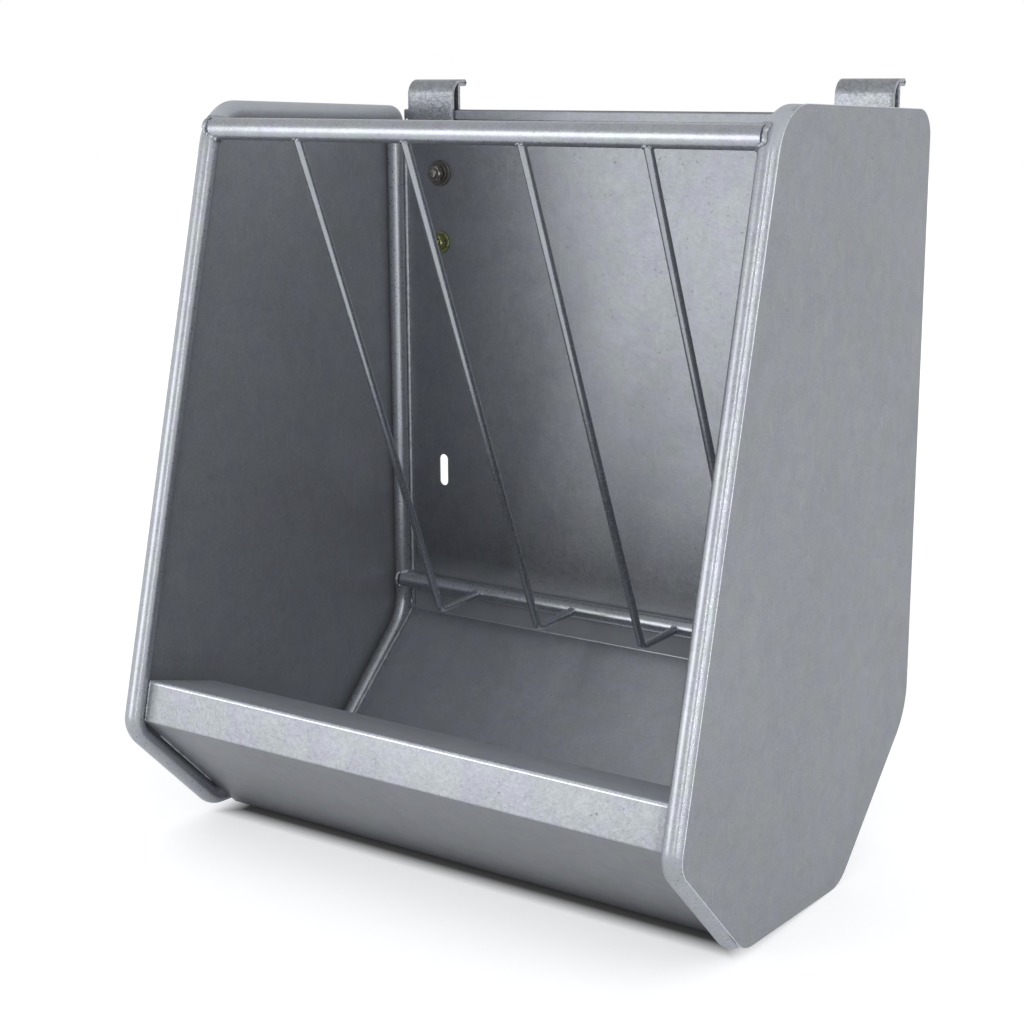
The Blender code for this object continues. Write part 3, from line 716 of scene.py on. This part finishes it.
def make_frame_seam(label, side):
    """The smooth fillet weld from the front edge of the side sheet down onto the tube ahead of it."""
    corner = ARC_STEPS + 1
    front_edge = SHEET_LOOP[FORE * corner - 1:] + SHEET_LOOP[:corner // 2 + SEAM_PAST_CORNER]
    run = subdivided(front_edge, SEAM_STEP)[SEAM_START:]
    face = OVERALL_WIDTH / 2 - SEAM_INSET
    shape = bmesh.new()
    rings = []
    for i, spot in enumerate(run):
        foot = nearest_on_loop(spot, TUBE_LOOP)
        out = (spot - foot).normalized()
        rim = (spot - foot).length
        taper = min(1.0, i / SEAM_TAPER, (len(run) - 1 - i) / SEAM_TAPER)
        toe = min(rim + SEAM_WIDTH, TUBE_RADIUS * SEAM_REACH)
        toe = rim + (toe - rim) * (SEAM_END + (1.0 - SEAM_END) * taper)
        seat = TUBE_X + math.sqrt(max(TUBE_RADIUS ** 2 - toe ** 2, 0.0)) - SEAM_SINK
        wave = SEAM_WAVE * noise.noise(Vector((i * SEAM_RIPPLE, side * SEAM_SEED, 0.0)))
        start = rim - SEAM_OVERLAP
        profile = []
        for share in evenly(0.0, 1.0, SEAM_COLUMNS):
            fall = (1.0 - math.cos(share * math.pi / 2)) * SEAM_CURVE + share * (1.0 - SEAM_CURVE)
            reach = start + (toe - start) * share + wave * math.sin(share * math.pi)
            profile.append((face - (face - seat) * fall, reach))
        for (across, along), (x, reach) in zip(SEAM_ROOTS, ((seat, toe), (face, rim))):
            profile.append((x - across, reach - along))
        rings.append([shape.verts.new(world(side * x, foot + out * reach)) for x, reach in profile])
    join_rings(shape, rings)
    add_piece("seam_" + label, shape, TUBE_ZINC, smooth_angle=60.0)


# Bars and rods
def cope_curve(centre, radius, side):
    """Where a bar along X meets the side tube: points round the bar's end."""
    points = []
    for spot in circle(centre, radius):
        away = (nearest_on_loop(spot, TUBE_LOOP) - spot).length
        reach = math.sqrt(max(TUBE_RADIUS ** 2 - away ** 2, 0.0))
        points.append(world(side * (TUBE_X - reach), spot))
    return points


def make_bar(name, centre, radius, seed):
    """A bar along X, with a weld bead round each coped end."""
    shape = bmesh.new()
    end = INNER_X + BAR_IN_TUBE
    rings = [[shape.verts.new(world(x, spot)) for spot in circle(centre, radius)]
             for x in evenly(-end, end, BAR_PIECES)]
    join_rings(shape, rings)
    add_piece(name + "_skin", shape, BAR_ZINC, (name,))
    for label, side in SIDES:
        curve = cope_curve(centre, radius + BAR_BEAD_LIFT, side)
        bead("%s_weld_%s" % (name, label), curve, BAR_BEAD, seed + int(side), closed=True)


def make_rods():
    start = (TOP_BAR[0] - ROD_TOP_LEAD, TOP_BAR[1] - ROD_TOP_DROP)
    path = rounded_path((start, ROD_KNEE, LOWER_BAR), (0.0, ROD_KNEE_BEND, 0.0), False)
    path = subdivided(path, TUBE_STEP)
    lean = (Vector(ROD_KNEE) - Vector(start)).normalized().x * ROD_BEAD_LEAN
    for index in range(ROD_COUNT):
        number = str(index + 1)
        x = (index - (ROD_COUNT - 1) / 2) * ROD_SPACING
        shape = bmesh.new()
        tube(shape, path, x, ROD_SKIN, ROD_SIDES, False)
        add_piece("rod_skin_" + number, shape, ROD_ZINC, ("hay_rod_" + number,))
        top, low = rod_weld_rings(x, lean)
        bead("rod_top_weld_" + number, top, ROD_TOP_BEAD, ROD_SEEDS[0] + index, closed=True)
        bead("rod_low_weld_" + number, low, ROD_LOW_BEAD, ROD_SEEDS[1] + index, closed=True)


def rod_weld_rings(x, lean):
    """Points round a rod where it meets the underside of the top bar, and the front of the lower bar."""
    top, low = [], []
    for angle in turn_angles(ROD_SIDES):
        across = x + ROD_RADIUS * math.cos(angle)
        along = ROD_RADIUS * math.sin(angle)
        fore = along - ROD_TOP_LEAD * ROD_BEAD_LEAD
        drop = math.sqrt(max(TOP_BAR_RADIUS ** 2 - fore ** 2, 0.0))
        top.append(world(across, (TOP_BAR[0] + fore - drop * lean, TOP_BAR[1] - drop)))
        rise = along - ROD_BEAD_DROP
        reach = math.sqrt(LOWER_BAR_RADIUS ** 2 - rise ** 2)
        low.append(world(across, (LOWER_BAR[0] - reach, LOWER_BAR[1] + rise)))
    return top, low


# Trough pan
def pan_points():
    """The pan's folded line in the side view, and the corners that its welds and finishes go by."""
    inner = offset_corners(TUBE_CORNERS, [0.0, 0.0, 0.0, 0.0, TUBE_RADIUS + WELD_GAP, BAND_SETBACK])
    slant_low, slant_high = inner[FLOOR_FORE], inner[FORE]
    behind = offset_corners(TUBE_CORNERS, [0.0, 0.0, 0.0, 0.0, 0.0, BAND_SETBACK])
    band_low, band_high = behind[FORE], behind[TOP_FRONT]
    front_floor = Vector((line_y(slant_low, slant_high, PAN_FLOOR_FRONT_HEIGHT), PAN_FLOOR_FRONT_HEIGHT))
    band_foot = crossing(slant_low, slant_high - slant_low, band_low, band_high - band_low)
    band_head = Vector((line_y(band_low, band_high, BAND_TOP), BAND_TOP))
    corners = (
        PAN_HEEL + Vector((0.0, PAN_REAR_FLANGE)),
        PAN_HEEL,
        PAN_FLOOR_REAR,
        front_floor,
        band_foot,
        band_head,
        band_head + Vector((RIM_DEPTH, -RIM_FALL)),
    )
    folds = (0.0,) + (FOLD_RADIUS,) * 5 + (0.0,)
    return rounded_path(corners, folds, False, FOLD_STEPS), front_floor, band_foot, band_head


def sheet_strip(name, path, middle, half, thickness, material, replaced, columns, offset, edge):
    """A folded sheet of constant width, thickened on one side of its path (offset -1) or on both (0)."""
    shape = bmesh.new()
    rows = [[shape.verts.new(world(x, point)) for x in evenly(middle - half, middle + half, columns)]
            for point in path]
    for first, second in zip(rows, rows[1:]):
        for c in range(columns):
            shape.faces.new((first[c], first[c + 1], second[c + 1], second[c]))
    mesh = bpy.data.meshes.new(name)
    shape.to_mesh(mesh)
    shape.free()
    piece = register(name, mesh, material, (replaced,), 50.0)
    step = piece.modifiers.new("thickness", "SOLIDIFY")
    step.thickness = thickness
    step.offset = offset
    step.use_even_offset = True
    soften(piece, edge, 60.0)
    return piece


def make_pan():
    path, front_floor, band_foot, band_head = pan_points()
    half = INNER_X - WELD_GAP
    pan = sheet_strip("pan_skin", path, 0.0, half, PAN_SHEET, PAN_ZINC, "trough_pan",
                      PAN_COLUMNS, -1.0, PAN_EDGE)
    finish_pan(pan, band_foot, band_head)
    for label, side in SIDES:
        weld_pan(label, side, half, front_floor, band_foot, band_head)


def finish_pan(pan, band_foot, band_head):
    """Give the band, the rim, the front slope and the fold at the band's head their own zinc. The rim's
    lighter and the slope's darker grey are painted light and shade, and the fold's bright zinc is a painted
    highlight.
    """
    for finish in (BAND_ZINC, RIM_LIT_ZINC, SLANT_SHADED_ZINC):
        pan.data.materials.append(finish)
    place = {finish.name: index for index, finish in enumerate(pan.data.materials)}
    fold = Vector((WALL_Y + band_head.x, band_head.y + LIFT))
    band_low = band_foot.y + FOLD_RADIUS * BAND_TRIM + LIFT
    band_high = fold.y - FOLD_RADIUS * BAND_TRIM
    for face in pan.data.polygons:
        spot = face.center.yz
        if spot.x > fold.x + RIM_DEPTH + FRONT_MARGIN:
            continue
        # painted highlight: the fold at the band's head gets the bright zinc
        if (spot - fold).length < FOLD_RADIUS * FOLD_HIGHLIGHT_REACH:
            finish = WORN_AND_HIGHLIGHT_ZINC
        elif band_low < spot.y < band_high and spot.x < fold.x + BAND_DEPTH:
            finish = BAND_ZINC
        # painted light and shade: the rim gets the lighter zinc, the front slope the darker one
        elif spot.y > fold.y - RIM_FALL - RIM_MARGIN:
            finish = RIM_LIT_ZINC
        else:
            finish = SLANT_SHADED_ZINC
        face.material_index = place[finish.name]


def weld_pan(label, side, half, front_floor, band_foot, band_head):
    """The beads that hold one side of the pan: behind the band, on the front slope and at the heel."""
    band_seed, slant_seed, heel_seed = [seed + int(side) for seed in PAN_SEEDS]
    behind = Vector((BAND_BEAD_SETBACK, 0.0))
    points = [world(side * (half - BAND_BEAD_INSET), band_foot.lerp(band_head, share) + behind)
              for share in evenly(0.0, 1.0, 8)]
    bead("band_weld_" + label, points, BAND_BEAD, band_seed)
    slope = (front_floor - band_foot).normalized()
    ahead = Vector((slope.y, -slope.x)) * SLANT_BEAD_LIFT
    points = [world(side * (half - SLANT_BEAD_INSET), band_foot.lerp(front_floor, share) + ahead)
              for share in evenly(*SLANT_BEAD_SPAN, 11)]
    bead("slant_weld_" + label, points, SLANT_BEAD, slant_seed)
    slope = (PAN_FLOOR_REAR - PAN_HEEL).normalized()
    inward = Vector((slope.y, -slope.x)) * HEEL_BEAD_LIFT
    line = [PAN_HEEL + Vector((-HEEL_BEAD_LEAD, rise)) for rise in HEEL_BEAD_RISES]
    line += [PAN_HEEL.lerp(PAN_FLOOR_REAR, share) + inward for share in evenly(*HEEL_BEAD_SPAN, 10)]
    points = [world(side * (half + HEEL_BEAD_OUT), point) for point in line]
    bead("heel_weld_" + label, points, HEEL_BEAD, heel_seed)


# Hooks
def hook_points():
    """The strap's middle line: up its front leg, over the top to the folded nose, and down its rear leg."""
    rear_leg = PANEL_REAR + WELD_GAP + HOOK_STRAP / 2
    front_leg = rear_leg + HOOK_STRAP - HOOK_SADDLE
    nose = front_leg - HOOK_STRAP + HOOK_NOSE
    top = HOOK_TOP - HOOK_STRAP / 2
    under = top - 2 * HOOK_FOLD
    corners = (
        (front_leg, HOOK_FRONT_END),
        (front_leg, top),
        (nose, top),
        (nose, under),
        (rear_leg, under),
        (rear_leg, HOOK_REAR_END),
    )
    tight = HOOK_FOLD * HOOK_TIGHT
    return rounded_path(corners, (0.0, HOOK_FRONT_BEND, tight, tight, tight, 0.0), False, HOOK_STEPS)


def make_hooks():
    path = hook_points()
    for label, side in SIDES:
        sheet_strip("hook_skin_" + label, path, side * HOOK_OFFSET, HOOK_WIDTH / 2, HOOK_SKIN, HOOK_ZINC,
                    "hook_" + label, HOOK_COLUMNS, 0.0, HOOK_EDGE)


# Bolts, nuts and washers
def axis_ring(shape, centre, y, radii):
    """Vertices round an axis along Y, with a radius for each angle."""
    return [shape.verts.new(world(centre[0] + radius * math.cos(angle),
                                  (y, centre[1] + radius * math.sin(angle))))
            for radius, angle in zip(radii, turn_angles(ROUND_STEPS))]


def turned(name, profile, centre, material, closed, smooth_angle):
    """A turned piece about an axis along Y. profile lists (radius, y); it closes on itself, or starts and
    ends on the axis."""
    shape = bmesh.new()
    rings = []
    for radius, y in profile:
        if radius == 0.0:
            rings.append([shape.verts.new(world(centre[0], (y, centre[1])))] * ROUND_STEPS)
        else:
            rings.append(axis_ring(shape, centre, y, [radius] * ROUND_STEPS))
    join_rings(shape, rings, closed)
    add_piece(name + "_skin", shape, material, (name,), smooth_angle)


def make_washer(name, centre, y_rear, radius, material):
    """A washer in front of y_rear; returns where the next piece sits."""
    y_front = y_rear - WASHER_THICKNESS
    profile = (
        (BOLT_RADIUS, y_rear),
        (radius - WASHER_EDGE, y_rear),
        (radius, y_rear - WASHER_EDGE),
        (radius, y_front + WASHER_EDGE),
        (radius - WASHER_EDGE, y_front),
        (BOLT_RADIUS, y_front),
    )
    turned(name, profile, centre, material, True, 35.0)
    return y_front - WELD_GAP


def make_nut(name, centre, y_rear, material):
    """A hexagon nut with both faces chamfered by a cone; returns where the next piece sits."""
    corner = NUT_FLATS / math.sqrt(3.0)
    face = NUT_FLATS / 2 * NUT_FACE
    wide = BOLT_RADIUS + NUT_COUNTERSINK
    shape = bmesh.new()
    rings = []
    for y, cone in ((0.0, face), (NUT_CHAMFER, corner), (NUT_HEIGHT - NUT_CHAMFER, corner),
                    (NUT_HEIGHT, face)):
        hexagon = [NUT_FLATS / 2 / math.cos(angle % (math.pi / 3) - math.pi / 6)
                   for angle in turn_angles(ROUND_STEPS)]
        rings.append(axis_ring(shape, centre, y_rear - y, [min(reach, cone) for reach in hexagon]))
    for y, radius in ((NUT_HEIGHT, wide), (NUT_HEIGHT - NUT_MOUTH, BOLT_RADIUS), (NUT_MOUTH, BOLT_RADIUS),
                      (0.0, wide)):
        rings.append(axis_ring(shape, centre, y_rear - y, [radius] * ROUND_STEPS))
    join_rings(shape, rings, closed=True)
    add_piece(name + "_skin", shape, material, (name,), 25.0)
    return y_rear - NUT_HEIGHT - WELD_GAP


def make_bolt(name, centre, y_head, y_end, material):
    """A cup head bolt with a threaded end."""
    tip = y_end + BOLT_TIP
    thread = y_end + THREAD_START
    crest = BOLT_RADIUS * THREAD_CREST
    profile = [(0.0, tip), (BOLT_RADIUS * THREAD_TIP, tip)]
    for k in range(THREAD_TURNS * 2):
        profile.append((BOLT_RADIUS * THREAD_ROOT if k % 2 else crest, thread + k * BOLT_PITCH / 2))
    profile.append((crest, thread + THREAD_TURNS * BOLT_PITCH))
    profile.append((crest, y_head))
    for angle in evenly(0.0, math.pi / 2, HEAD_STEPS)[:-1]:
        profile.append((HEAD_RADIUS * math.cos(angle), y_head + HEAD_HEIGHT * math.sin(angle)))
    profile.append((0.0, y_head + HEAD_HEIGHT))
    turned(name, profile, centre, material, False, 30.0)


# Each level of bolts: its height, its washers, their plating and slot, and the plating of bolt and nut
FIXINGS = (
    ("upper", 0.7550, WASHERS_UPPER, WASHER_PLATE, "fixing_steel", NUT_PLATE),
    ("lower", 0.6670, WASHERS_LOWER, YELLOW_PLATE, "yellow_zinc", YELLOW_PLATE),
)


def make_fixings():
    for label, side in SIDES:
        for level, height, washers, washer_plate, washer_slot, plate in FIXINGS:
            centre = (side * BOLT_OFFSET, height)
            tag = "%s_%s" % (label, level)
            face = PANEL_REAR - PANEL_SHEET - WELD_GAP
            for kind, radius in washers:
                face = make_washer(kind + tag, centre, face, radius, washer_plate)
            face = make_nut("nut_" + tag, centre, face, plate)
            head = PANEL_REAR + WELD_GAP + HOOK_STRAP + WELD_GAP
            make_bolt("bolt_" + tag, centre, head, face - BOLT_END, plate)


# Back panel
def make_panel():
    """The back panel in its CAD form, with a weld bead in the groove between each side edge and its tube."""
    panel = frame["nodes"]["back_panel"]
    mesh = panel.data.copy()
    mesh.transform(panel.matrix_world)
    mesh.materials.clear()
    edge = max(vertex.co.x for vertex in mesh.vertices)
    foot = min(vertex.co.z for vertex in mesh.vertices) + PANEL_BEAD_FOOT
    head = max(vertex.co.z for vertex in mesh.vertices) - PANEL_BEAD_HEAD
    skin = register("panel_skin", mesh, PANEL_ZINC, ("back_panel",))
    soften(skin, PANEL_EDGE, 50.0)
    middle = WALL_Y + PANEL_REAR - PANEL_BEAD_LEAD
    for label, side in SIDES:
        x = side * (edge + PANEL_BEAD_OUT)
        bead("panel_weld_" + label, [(x, middle, foot), (x, middle, head)], PANEL_BEAD,
             PANEL_SEED + int(side))


# Studio
WHITE = (1.0, 1.0, 1.0, 1.0)
ROOM_TINT = (0.97, 0.985, 1.0, 1.0)
ROOM_LEVEL = 0.72        # light on the object
ROOM_WHITE = 1.0         # what shows round the horizon and overhead, and the heights between them
ROOM_OVERHEAD = 0.62
ROOM_FADE = (0.12, 0.60)
FLOOR_SIZE = 14.0
FLOOR_DROP = 0.0005
FLOOR_GREYS = (0.84, 0.86)
FLOOR_LIFT = (0.44, 0.60)
FLOOR_LIFT_REACH = (0.8, 4.0)
FLOOR_SHINE = 0.60
FOOTPRINT = (0.352, -0.024, 0.108)     # half width, middle and half depth of what stands on the floor, where a shadow is painted
# painted shadow under the feeder: its grey, and the fades of the paper's colour and of the camera's lift
PAINTED_SHADOW_GREY = 0.16
PAINTED_SHADOW_FADE = (-0.020, 0.006)
PAINTED_SHADOW_LIFT_FADE = (-0.020, 0.010)
SOFTBOXES = (
    ("key", (-1.55, -2.75, 0.85), (0.0, 0.0, 0.45), (1.9, 1.7), 22.0),
    ("side", (2.4, 0.3, 1.15), (-0.36, 0.05, 0.84), (1.4, 0.5), 3.0),
    ("overhead", (1.7, -1.0, 2.6), (-0.2, -0.1, 0.3), (1.2, 1.2), 4.0),
    ("strip", (1.75, -2.5, 1.2), (0.0, 0.0, 0.5), (0.14, 2.0), 11.0),
)
CAMERA_PLACE = (1.2015, -2.0023, 0.8821)
CAMERA_YAW = 34.687
CAMERA_PITCH = 12.937
CAMERA_ROLL = -0.30
CAMERA_LENS = 67.52


def footprint_distance(s):
    """How far a floor point lies outside the rectangle that the feeder stands on; negative inside it."""
    half_width, middle, half_depth = FOOTPRINT
    place = s.split(s.place)
    across = s.math("SUBTRACT", s.math("ABSOLUTE", place["X"]), half_width)
    depth = s.math("SUBTRACT", place["Y"], middle)
    along = s.math("SUBTRACT", s.math("ABSOLUTE", depth), half_depth)
    return s.math("MAXIMUM", across, along)


def make_floor():
    """White paper that keeps the shadow, and shows as white to the camera where it is unshaded. Under the
    feeder
    a shadow is painted: the paper turns dark grey there and loses the camera's lift.
    """
    s = Shader("floor_paper")
    speck = s.noise(40.0, 3.0)
    outside = footprint_distance(s)
    low, high = FLOOR_GREYS
    colour = s.blend(s.ramp(speck, 0.3, 0.7), grey_of(low), grey_of(high))
    # painted shadow: the paper's colour turns dark grey in the rectangle under the feeder
    colour = s.blend(s.ramp(outside, *PAINTED_SHADOW_FADE), grey_of(PAINTED_SHADOW_GREY), colour)
    s.finish(colour, 0.0, 0.9, s.bump(speck, 0.02, 0.0005))
    reach = s.node("ShaderNodeVectorMath", operation="LENGTH")
    s.feed(reach.inputs[0], s.place)
    lift = s.ramp(reach.outputs["Value"], *FLOOR_LIFT_REACH, *FLOOR_LIFT)
    # painted shadow: the camera's lift falls away under the feeder
    lift = s.math("MULTIPLY", lift, s.ramp(outside, *PAINTED_SHADOW_LIFT_FADE))
    s.feed(s.surface.inputs["Emission Color"], WHITE)
    s.feed(s.surface.inputs["Emission Strength"], s.math("MULTIPLY", s.shown_rays(FLOOR_SHINE), lift))
    shape = bmesh.new()
    bmesh.ops.create_grid(shape, x_segments=2, y_segments=2, size=FLOOR_SIZE)
    mesh = bpy.data.meshes.new("floor")
    shape.to_mesh(mesh)
    shape.free()
    mesh.materials.append(s.material)
    floor = bpy.data.objects.new("floor", mesh)
    floor.location.z = -FLOOR_DROP
    bpy.context.scene.collection.objects.link(floor)


def add_softbox(name, place, target, size, power):
    lamp = bpy.data.lights.new(name, "AREA")
    lamp.shape = "RECTANGLE"
    lamp.size, lamp.size_y = size
    lamp.energy = power
    holder = bpy.data.objects.new(name, lamp)
    holder.location = place
    direction = Vector(target) - Vector(place)
    holder.rotation_euler = direction.to_track_quat("-Z", "Y").to_euler()
    bpy.context.scene.collection.objects.link(holder)
    holder.visible_camera = False


def light_studio():
    """A pale room, white round the horizon and darker overhead, with its softboxes."""
    room = bpy.data.worlds.new("studio")
    bpy.context.scene.world = room
    s = Nodes(room, "ShaderNodeOutputWorld")
    direction = s.node("ShaderNodeTexCoord").outputs["Generated"]
    around = s.node("ShaderNodeBackground")
    s.feed(around.inputs["Color"], ROOM_TINT)
    s.feed(around.inputs["Strength"], ROOM_LEVEL)
    seen = s.node("ShaderNodeBackground")
    s.feed(seen.inputs["Color"], WHITE)
    s.feed(seen.inputs["Strength"], s.ramp(s.split(direction)["Z"], *ROOM_FADE, ROOM_WHITE, ROOM_OVERHEAD))
    mix = s.node("ShaderNodeMixShader")
    s.feed(mix.inputs[0], s.shown_rays(1.0))
    s.feed(mix.inputs[1], around.outputs[0])
    s.feed(mix.inputs[2], seen.outputs[0])
    s.feed(s.output, mix.outputs[0])
    for name, place, target, size, power in SOFTBOXES:
        add_softbox(name, place, target, size, power)


def add_camera():
    """The photograph's own view, found from the outlines of the feeder."""
    yaw = math.radians(CAMERA_YAW)
    pitch = math.radians(CAMERA_PITCH)
    roll = math.radians(CAMERA_ROLL)
    ahead = Vector((-math.sin(yaw) * math.cos(pitch), math.cos(yaw) * math.cos(pitch), -math.sin(pitch)))
    right = Vector((math.cos(yaw), math.sin(yaw), 0.0))
    up = right.cross(ahead)
    rolled_right = right * math.cos(roll) + up * math.sin(roll)
    rolled_up = up * math.cos(roll) - right * math.sin(roll)
    lens = bpy.data.cameras.new("camera")
    lens.lens = CAMERA_LENS
    lens.sensor_width = 36.0
    lens.clip_end = 100.0
    holder = bpy.data.objects.new("camera", lens)
    bpy.context.scene.collection.objects.link(holder)
    matrix = Matrix((rolled_right, rolled_up, -ahead)).transposed().to_4x4()
    matrix.translation = Vector(CAMERA_PLACE) + Vector((0.0, WALL_Y, LIFT))
    holder.matrix_world = matrix
    bpy.context.scene.camera = holder


make_side_frames()
make_bar("top_bar", TOP_BAR, TOP_BAR_RADIUS, 40)
make_bar("lower_bar", LOWER_BAR, LOWER_BAR_RADIUS, 60)
make_rods()
make_pan()
make_hooks()
make_panel()
make_fixings()
make_floor()
light_studio()
add_camera()
bpy.context.scene.view_settings.view_transform = "Standard"
